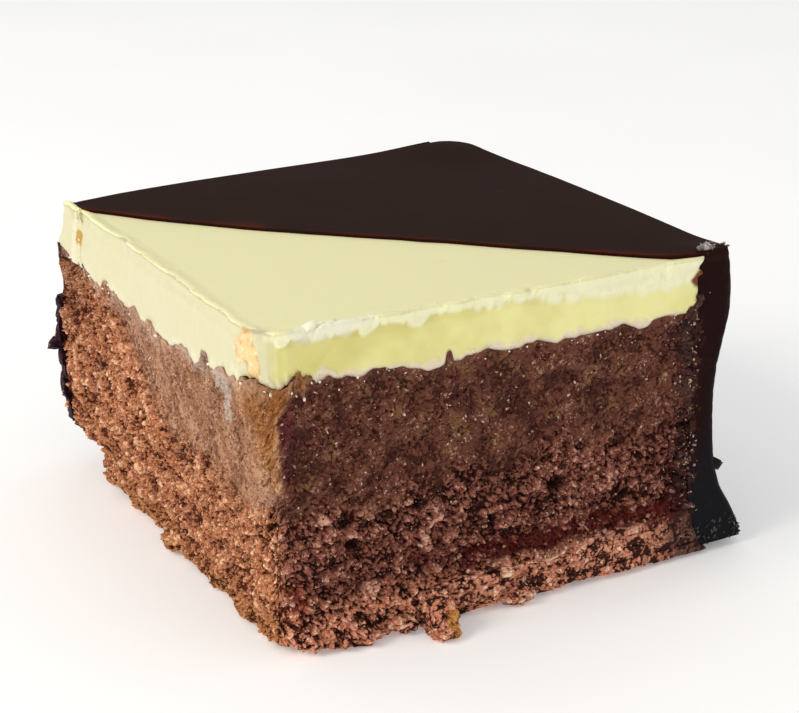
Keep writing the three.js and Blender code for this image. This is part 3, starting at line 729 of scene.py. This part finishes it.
def cream_piece():
    """The cream sheet, smooth above, with lip, fringe and dragged flakes on its cut faces."""
    points, faces = node_surface("cream_sheet")
    sides = coat_side(points, faces)
    for limit, within in ((CREAM_TOP_EDGE, np.inf), (CREAM_EDGE_LENGTH, CREAM_RELIEF_REACH)):
        near = points[faces].mean(axis=1)[:, :2].min(axis=1) < within
        shown = cut_faces(points, faces) | (near & (face_normals(points, faces)[:, 2] > LOOKS_UP))
        points, faces, shown = split_long_edges(points, faces, shown, limit)
    calm = calm_at_seam(points)
    points = crisp_edge(bitten(points))
    marks = cream_marks(points)
    front, reach = on_front(points), 1 - between(points[:, :2].min(axis=1), 0, CREAM_RELIEF_REACH)
    inset = inside_coat(points, sides)
    on_lip, on_fringe = between(marks["lip"], -0.1, 0.3), between(marks["fringe"], -0.1, 0.3)
    lumps, _ = broken(points * [0.7, 0.7, 1.2], CREAM_LUMP, 101)
    flakes, _ = broken(points, CREAM_FLAKE, 111)
    height = 0.15 * waves(points, 5, 121) + 0.05 * waves(points, 1.1, 122)
    rough = (0.25 + 0.75 * front) * (1 - 0.6 * between(points[:, 0], 25, 40))
    height += on_lip * (LIP_STANDS * front + LUMP_STANDS * rough * lumps + FLAKE_STANDS * flakes)
    height += on_fringe * (FRINGE_STANDS + 0.1 * flakes)
    lowest = -EDGE_STANDS - 2 * np.clip(inset - EDGE_WIDTH, 0, 1)
    height = np.maximum(height, lowest) * reach * calm
    points = points + out_of_cut(points) * height[:, None]
    top = between(points[:, 2], CREAM_TOP - 1.0, CREAM_TOP - 0.4)
    nicks = 0.12 * np.clip(flakes, -1, 0) * (1 - between(points[:, 0], 0.4, 1.2))
    uneven = reach * rough * (front * (0.1 * lumps + 0.06 * flakes - 0.05) + (1 - front) * nicks)
    points[:, 2] += top * (0.03 * waves(points, 6, 141) + uneven)
    torn_faces["cream_sheet"] = points[faces[shown]]
    points = up_to_coat(points, inset)
    mesh_piece("cream_paste", points, faces, cream_material(), marks, "cream_sheet",
               CREAM_SHARP)


cream_piece()

# The chocolate coat, poured over the right and the back wall and over half of the top. It set
# glossy and dark, thick at the walls and thin as paper on the cream, where its straight edge
# lets a little red light through. The knife broke it off at both cut faces.

PLATE_TOP = 37.9
WALL_FROM = 54.5  # the coat's walls begin here
RISES = [(55, 57, 0.7, 9), (56.5, 0, 0.4, 4)]  # where the top swells: x, y, height and width
DIAGONAL = [(54, -8), (53.7, -0.4), (50, 2), (40, 11), (30, 20.3), (20, 29), (10, 39), (-0.8, 52), (-8, 61)]
COAT_SHARP = radians(52)


def smoothed(points, faces, rounds):
    """Evens out facets without shrinking the form. Sharp edges stay where they are."""
    ends = faces[:, [[0, 1], [1, 2], [2, 0]]].reshape(-1, 2)
    key = ends.min(axis=1) * len(points) + ends.max(axis=1)
    pair = np.argsort(key, kind="stable").reshape(-1, 2)
    normal = face_normals(points, faces)
    sharp = (normal[pair[:, 0] // 3] * normal[pair[:, 1] // 3]).sum(axis=1) < np.cos(COAT_SHARP)
    a, b = ends[pair[:, 0]].T
    held = (points[:, 2] > PLATE_TOP - 0.7) & (points[:, :2].max(axis=1) < WALL_FROM)
    held[a[sharp]] = held[b[sharp]] = True
    start, end = np.concatenate([a, b]), np.concatenate([b, a])
    count = np.bincount(start, minlength=len(points))
    for pull in [0.5, -0.52] * rounds:
        mean = np.stack([np.bincount(start, points[end, k], len(points)) / count for k in range(3)], axis=1)
        points = np.where(held[:, None], points, points + pull * (mean - points))
    return points


def distance_to_line(x, y, line):
    """How far places in plan are from a line of straight steps."""
    line = np.array(line, float)
    nearest = np.full(len(x), 1e9)
    for a, b in zip(line, line[1:]):
        t = np.clip(((x - a[0]) * (b - a)[0] + (y - a[1]) * (b - a)[1]) / ((b - a) @ (b - a)), 0, 1)
        nearest = np.minimum(nearest, np.hypot(x - a[0] - t * (b - a)[0], y - a[1] - t * (b - a)[1]))
    return nearest


def top_level(x, y):
    """The height of the coat's upper face."""
    return PLATE_TOP + sum(h * np.exp(-((x - u) ** 2 + (y - v) ** 2) / w ** 2) for u, v, h, w in RISES)


CHOCOLATE, CHOCOLATE_TOP_SHEEN, CHOCOLATE_THIN_GLOW, CHOCOLATE_EDGE_GLOW = colours("1C1010 281610 47190C 280E07")
CUT_RED, CUT_GREY_REFLECTION, CRUMB_SMEAR = colours("241010 1A191D 4A2C22")
END_PURPLE, END_LIGHT = colours("27141D 4C303C")
TOP_FROM, PLATE_EDGE = (36.5, 37.6), (37.7, 37.88)  # heights of the top and of the plate's side
THIN_TO = (1.6, 2.7)  # how far from the plate's edge light comes through
SMEAR_TO, SMEAR_TOP = (57.4, 58.2), (28.0, 32.0)
END_TO, END_TOP = (0.5, 2.5), (29.0, 31.0)


def chocolate_material():
    """Dark chocolate: smooth on the walls, dull where it broke; painted sheen on top, red glow where thin,
    grey reflection on the cut.
    """
    material, start, place = new_material("chocolate_coat")
    x, y, z = (place.part(axis) for axis in range(3))
    cloud = place.noise(9.0)
    speck = place.noise(0.6, detail=3)
    top = z.rise(*TOP_FROM)
    cut = (1 - (y + speck * 0.6).rise(0.2, 1.0)) * (1 - top)
    # Painted glow: near the plate's straight edge, red light through the thin chocolate is painted into its
    # colour.
    thin = start.mark("thin") * 0.6 + cloud * 3.5 + speck * 0.5
    glow = z.rise(*PLATE_EDGE).mix(CHOCOLATE_EDGE_GLOW, CHOCOLATE_THIN_GLOW)
    # Painted sheen: the top is coloured lighter and redder than the walls, standing in for the room's light
    # on it.
    colour = (top * (1 - thin.rise(*THIN_TO))).mix(top.mix(CHOCOLATE, CHOCOLATE_TOP_SHEEN), glow)
    # Painted reflection: low and to the right the cut face turns bluish grey.
    colour = cut.mix(colour, (x * 0.25 - z * 0.06 + cloud).rise(13.0, 14.2).mix(CUT_RED, CUT_GREY_REFLECTION))
    smear = 1 - (x + place.noise(1.6, detail=4, roughness=0.7) * 6).rise(*SMEAR_TO)
    colour = (smear * cut * (1 - z.rise(*SMEAR_TOP)) * 0.8).mix(colour, CRUMB_SMEAR)
    end = (1 - x.rise(*END_TO)) * (1 - z.rise(*END_TOP))
    colour = end.mix(colour, speck.rise(0.5, 0.7).mix(END_PURPLE, END_LIGHT))
    relief = place.noise(3.0) + 0.8 * place.noise(0.5, detail=3) * (cut + end)
    finish_material(start, {
        "Base Color": colour,
        "Roughness": 0.42 + 0.15 * cut + 0.08 * cloud,
        "Specular IOR Level": 0.008,
        "Coat Weight": (1 - top) * (0.3 - 0.27 * cut) * (1 - 0.7 * end),
        "Coat Roughness": 0.3,
        "Normal": relief.bumped(0.25, 0.12),
    })
    return material


COAT_EDGE, END_EDGE = 0.7, 0.3  # longest edges of the coat and of its left end
COAT_ROUNDS = 25
BEAD, END_HEIGHT = 2.4, 31  # size of a bead, and how high the beaded end reaches


def beads(points):
    """Swells the left end of the coat into round beads, as it broke there and melted a little."""
    x, y, z = points.T
    nearest, _, number, _ = cells(points * [1, 0.6, 1] + 0.4 * waves(points, 1.5, 131)[:, None], BEAD, 132)
    bead = np.sqrt(np.clip(1 - (nearest / (0.45 + 0.3 * number)) ** 2, 0, 1))
    at_end = (1 - between(x, -0.2, 1.6)) * between(y, 53.5, 54.5) * (1 - between(z, 28, 30.5))
    swell = (0.2 + 0.9 * bead) * at_end
    return np.column_stack([-0.7 * swell, 0 * x - 0.5 * swell, 0 * x])


def coat_piece():
    """The coat with its facets smoothed, its top level again and its left end beaded."""
    points, faces = node_surface("chocolate_coat")
    points, faces, _ = split_long_edges(points, faces, np.ones(len(faces), bool), COAT_EDGE)
    level = face_normals(points, faces)[:, 2] > 0.93
    upper = np.unique(faces[level & (points[faces][..., 2].mean(axis=1) > PLATE_TOP - 0.3)])
    flat = points[upper]
    points = smoothed(points, faces, COAT_ROUNDS)
    points[upper] = flat
    points[upper, 2] = top_level(*flat[:, :2].T)
    x, y, z = points[faces].mean(axis=1).T
    points, faces, _ = split_long_edges(points, faces, (x < 2) & (y > 53) & (z < END_HEIGHT), END_EDGE)
    points = points + beads(points)
    marks = {"thin": distance_to_line(points[:, 0], points[:, 1], DIAGONAL)}
    torn_faces["chocolate_coat"] = points[faces[cut_faces(points, faces)]]
    mesh_piece("chocolate_shell", points, faces, chocolate_material(), marks,
               "chocolate_coat", COAT_SHARP)


coat_piece()

# Crumbs that the knife loosened: grains of the same sponge, still clinging to the torn faces,
# most of them on the dry lower half and along the foot. A wedge of them fills the corner between
# the sponge, the cream and the coat.

STONE_KINDS = 12
CUT_PIECES = ("base_sponge", "jam_seam", "crumb_sponge", "soaked_sponge", "chocolate_coat")
CRUMBS, WEDGE_CRUMBS = 2270, 30
COAT_FROM = 54.7  # the coat begins here on the front cut


def stones(draw, roundness):
    """A few rough little solids of about 1 across, and the triangles that each of them has."""
    ball = bmesh.new()
    bmesh.ops.create_icosphere(ball, subdivisions=2, radius=0.5)
    points = np.array([v.co for v in ball.verts])
    faces = np.array([[v.index for v in f.verts] for f in ball.faces])
    ball.free()
    size = roundness + (1 - roundness) * draw.random((STONE_KINDS, len(points), 1)) * 1.6
    return points * size, faces


def random_turns(draw, count):
    """Rotations in no order, as matrices."""
    q = draw.normal(size=(count, 4))
    w, x, y, z = (q / np.linalg.norm(q, axis=1)[:, None]).T
    rows = [1 - 2 * (y * y + z * z), 2 * (x * y - w * z), 2 * (x * z + w * y),
            2 * (x * y + w * z), 1 - 2 * (x * x + z * z), 2 * (y * z - w * x),
            2 * (x * z - w * y), 2 * (y * z + w * x), 1 - 2 * (x * x + y * y)]
    return np.stack(rows, axis=1).reshape(-1, 3, 3)


def drop_spots(draw, nodes, count, liking):
    """Places on torn faces, spread by area and by how much each place is liked."""
    triangles = np.vstack([torn_faces[node] for node in nodes])
    a, b, c = (triangles[:, k] for k in range(3))
    weight = np.linalg.norm(np.cross(b - a, c - a), axis=1) * liking(triangles.mean(axis=1))
    chosen = draw.choice(len(triangles), count, p=weight / weight.sum())
    u, v = draw.random((2, count, 1))
    u, v = np.where(u + v > 1, 1 - u, u), np.where(u + v > 1, 1 - v, v)
    return a[chosen] + u * (b - a)[chosen] + v * (c - a)[chosen]


def scatter(name, draw, spots, sizes, form, sunk, roundness, material):
    """One mesh of many small stones, each at its spot, turned at random and sunk into the face."""
    shapes, faces = stones(draw, roundness)
    count = len(spots)
    squash = form * (0.75 + 0.5 * draw.random((count, 1, 3)))
    solid = shapes[draw.integers(STONE_KINDS, size=count)] * squash * sizes[:, None, None]
    solid = np.einsum("nij,nkj->nki", random_turns(draw, count), solid)
    centre = spots + out_of_cut(spots) * (sizes * (0.5 - sunk))[:, None]
    points = (solid + centre[:, None]).reshape(-1, 3)
    points[:, 2] = np.maximum(points[:, 2], 0)
    corners = (faces + len(solid[0]) * np.arange(count)[:, None, None]).reshape(-1, 3)
    own = np.repeat(draw.random((count, 1)), len(solid[0]), axis=1).reshape(-1)
    marks = {"tone": own, "stand": own - 0.4, "hollow": 0 * own, **crumb_marks(points)}
    mesh_piece(name, points, corners, material, marks)


def crumbly_places(places):
    """How much loose crumbs like a place: the dry crumb most."""
    x, _, z = places.T
    dry = 0.05 + (1 - dampness(places)) * (0.6 + 0.8 * (waves(places, 4, 7) > 0))
    return dry * np.where(x > COAT_FROM, np.exp(-(((x - COAT_FROM) / 0.5) ** 2)) + 0.3 * (z < 4), 1)


crumb_draw = np.random.default_rng(5)
t, u = crumb_draw.random((2, WEDGE_CRUMBS))
wedge_spots = np.column_stack([54.6 - 2.3 * t + 0.9 * t * u, -0.15 + 0 * t, 33.0 - 2.0 * t - 0.4 * u])
wedge_sizes = crumb_draw.uniform(0.45, 0.95, WEDGE_CRUMBS)
crumb_spots = drop_spots(crumb_draw, CUT_PIECES, CRUMBS, crumbly_places)
crumb_sizes = 0.22 + 0.55 * crumb_draw.random(CRUMBS) ** 2.5
crumb_spots = np.vstack([wedge_spots, crumb_spots])
crumb_sizes = np.concatenate([wedge_sizes, crumb_sizes])
scatter("loose_crumbs", crumb_draw, crumb_spots, crumb_sizes, form=(1.1, 0.9, 0.8),
        sunk=0.45, roundness=0.6, material=crumb_material("loose_crumb"))

# Glints: specks of sugar and fat that the cut left on the moist crumb and along the broken edge
# of the chocolate, coloured pale so as to paint the sparkle of light on them.

GLINT, PAINTED_GLINT_DULL, PAINTED_GLINT_GREY = colours("E4C8B4 A17865 8F868C")
GLINTS = 1500
BORDER_AT = 54.3  # the coat's broken edge


def painted_glint_material():
    """Sugar specks in a painted sparkle: pale and shiny, greyer on the chocolate."""
    material, start, place = new_material("sugar_glint")
    speck = place.noise(0.8)
    border = place.part(0).rise(53.5, 55.5)
    # Painted highlight: the specks' pale colour stands in for their sparkle, greyer by the chocolate.
    colour = speck.rise(0.42, 0.68).mix(PAINTED_GLINT_DULL, GLINT)
    colour = (border * 0.7).mix(colour, PAINTED_GLINT_GREY)
    finish_material(start, {"Base Color": colour, "Roughness": 0.25 + 0.2 * speck})
    return material


def moist_places(places):
    """How much glints like a place: the moist crumb, and its border with the coat."""
    x, y, z = places.T
    clusters = np.clip(waves(places, 3, 17) + 0.2, 0, 1) + 1.5 * np.clip(waves(places, 1.2, 18), 0, 1)
    border = np.exp(-(((x - BORDER_AT) / 0.9) ** 2)) * between(z, 3, 8) * (x > y) * (0.1 + clusters)
    return (0.06 + clusters) * np.where(x > y, 1.0, 0.6) * between(z, 4, 15) * (x < 54.5) + 5 * border


glint_draw = np.random.default_rng(15)
glint_spots = drop_spots(glint_draw, CUT_PIECES, GLINTS, moist_places)
glint_sizes = 0.14 + 0.3 * glint_draw.random(GLINTS) ** 3
scatter("sugar_glints", glint_draw, glint_spots, glint_sizes, form=(1.3, 0.75, 0.5),
        sunk=0.4, roundness=0.35, material=painted_glint_material())

# Bits of cream that the knife dragged along: soft lumps on the lip beside the front corner, and
# flecks on the crumb just under the seam.

CREAM_BIT, CREAM_BIT_CLEAR = colours("F3EFD2 E6E2BE")
LIP_BITS = [(5.7, 0.4, 37.4), (4.0, 0.5, 37.2), (7.3, 0.2, 37.2), (8.6, 0.6, 37.4), (11.0, 0.3, 37.3)]
LIP_BIT_SIZES = (1.6, 0.8, 1.0, 0.9, 0.7)
FLECKS = 90


def cream_bit_material():
    """Cream again, in bits too small to glow."""
    material, start, place = new_material("cream_bit")
    colour = place.noise(1.5).rise(0.4, 0.6).mix(CREAM_BIT, CREAM_BIT_CLEAR)
    finish_material(start, {"Base Color": colour, "Roughness": 0.4 + 0.1 * place.noise(0.5)})
    return material


def under_seam(places):
    """How much flecks like a place: just under the cream."""
    drop = under_cream(places)
    return np.exp(-((drop / 0.7) ** 2)) + 0.01 * (drop < 9) * (places[:, 0] < places[:, 1])


bit_draw = np.random.default_rng(25)
fleck_spots = drop_spots(bit_draw, ("soaked_sponge", "cream_sheet"), FLECKS, under_seam)
bit_spots = np.vstack([LIP_BITS, fleck_spots])
bit_sizes = np.concatenate([LIP_BIT_SIZES, 0.12 + 0.35 * bit_draw.random(FLECKS) ** 2])
scatter("cream_bits", bit_draw, bit_spots, bit_sizes, form=(1.2, 0.9, 0.7),
        sunk=0.5, roundness=0.85, material=cream_bit_material())

# Chips of chocolate: the coat splintered where the knife broke its upper edge at the right corner
# and its foot, and the grey shine of the splinters' fresh faces is painted into their colour.

CHIP_DARK, CHIP_PAINTED_SHINE, FOOT_CHIP = colours("6A5B58 C4BAB6 1E1818")
BLOCKS, SPLINTERS, FOOT_CHIPS = 5, 16, 50  # blocks at the corner, splinters along the edge
BLOCK_SIZE, BLOCK_FORM, SPLINTER_FORM = 1.3, (1.1, 1.0, 0.8), (1.2, 0.9, 0.35)
BLOCKS_TO = 56.2


def chip_material():
    """Broken chocolate: a painted grey shine at the upper edge, darker at the foot."""
    material, start, place = new_material("chocolate_chip")
    speck = place.noise(0.7, detail=3)
    # Painted shine: pale grey patches stand in for light on the broken faces; the foot's chips stay dark.
    colour = speck.rise(0.45, 0.65).mix(CHIP_DARK, CHIP_PAINTED_SHINE)
    colour = (1 - place.part(2).rise(5.0, 10.0)).mix(colour, speck.rise(0.5, 0.7).mix(FOOT_CHIP, CHIP_DARK))
    finish_material(start, {"Base Color": colour, "Roughness": 0.25 + 0.2 * speck, "Coat Weight": 0.3})
    return material


def foot_of_coat(places):
    """How much chips like a place: the foot of the coat alone."""
    return (places[:, 2] < 4.5) * (places[:, 0] > 55)


chip_draw = np.random.default_rng(35)
rim_x = np.concatenate([chip_draw.uniform(54.8, 56.0, BLOCKS), chip_draw.uniform(BLOCKS_TO, 58.9, SPLINTERS)])
block_y, splinter_y = chip_draw.uniform(0.0, 1.0, len(rim_x)), chip_draw.uniform(0.2, 2.6, len(rim_x))
rim_y = np.where(rim_x < BLOCKS_TO, block_y, splinter_y)
rim_z = top_level(rim_x, rim_y) - 0.1 - 0.3 * (rim_x > 58.8)
foot_spots = drop_spots(chip_draw, ("chocolate_coat",), FOOT_CHIPS, foot_of_coat)
chip_spots = np.vstack([np.column_stack([rim_x, rim_y, rim_z]), foot_spots])
is_block = np.arange(len(chip_spots)) < BLOCKS
chip_sizes = np.where(is_block, BLOCK_SIZE, chip_draw.uniform(0.3, 0.8, len(chip_spots)))
chip_forms = np.where(is_block[:, None, None], BLOCK_FORM, SPLINTER_FORM)
scatter("chocolate_chips", chip_draw, chip_spots, chip_sizes, form=chip_forms,
        sunk=0.7, roundness=0.5, material=chip_material())

# What the slice stands in: a pale board under it, soft light from a window on the left and from
# the white room, and the camera.

BOARD_CORNERS = [(-3, -3, 0), (3, -3, 0), (3, 3, 0), (-3, 3, 0)]
BOARD_GREY, BOARD_WHITE = colours("F4F4F4 FAFAFA")
WINDOW_AT, WINDOW_SIZE, WINDOW_POWER, WINDOW_TINT = (-0.6, -0.05, 0.42), 0.3, 2.5, (1.0, 0.95, 0.87)
ROOM_LIGHT = 0.68
LENS = 80.30
CAMERA_AT = (-0.0978, -0.18123, 0.0972)
CAMERA_TURN = (radians(69.42), 0, radians(-28.72))

board = bpy.data.meshes.new("board")
board.from_pydata(BOARD_CORNERS, [], [(0, 1, 2, 3)])
pale_board, start, place = new_material("pale_board")
white = place.noise(60.0).mix(BOARD_GREY, BOARD_WHITE)
finish_material(start, {"Base Color": white, "Roughness": 0.8, "Specular IOR Level": 0.1,
                        "Emission Color": white, "Emission Strength": 0.2})
board.materials.append(pale_board)
placed("board", board)

lamp = placed("window", bpy.data.lights.new("window", "AREA"))
lamp.data.energy = WINDOW_POWER
lamp.data.size = WINDOW_SIZE
lamp.data.color = WINDOW_TINT
lamp.location = WINDOW_AT
lamp.rotation_euler = (-lamp.location).to_track_quat("-Z", "Y").to_euler()
world = bpy.data.worlds.new("room")
world.use_nodes = True
background = world.node_tree.nodes["Background"].inputs
background["Color"].default_value = (1, 1, 1, 1)
background["Strength"].default_value = ROOM_LIGHT
bpy.context.scene.world = world
bpy.context.scene.view_settings.view_transform = "Standard"

camera = placed("camera", bpy.data.cameras.new("camera"))
camera.data.lens = LENS
camera.location = CAMERA_AT
camera.rotation_euler = CAMERA_TURN
bpy.context.scene.camera = camera
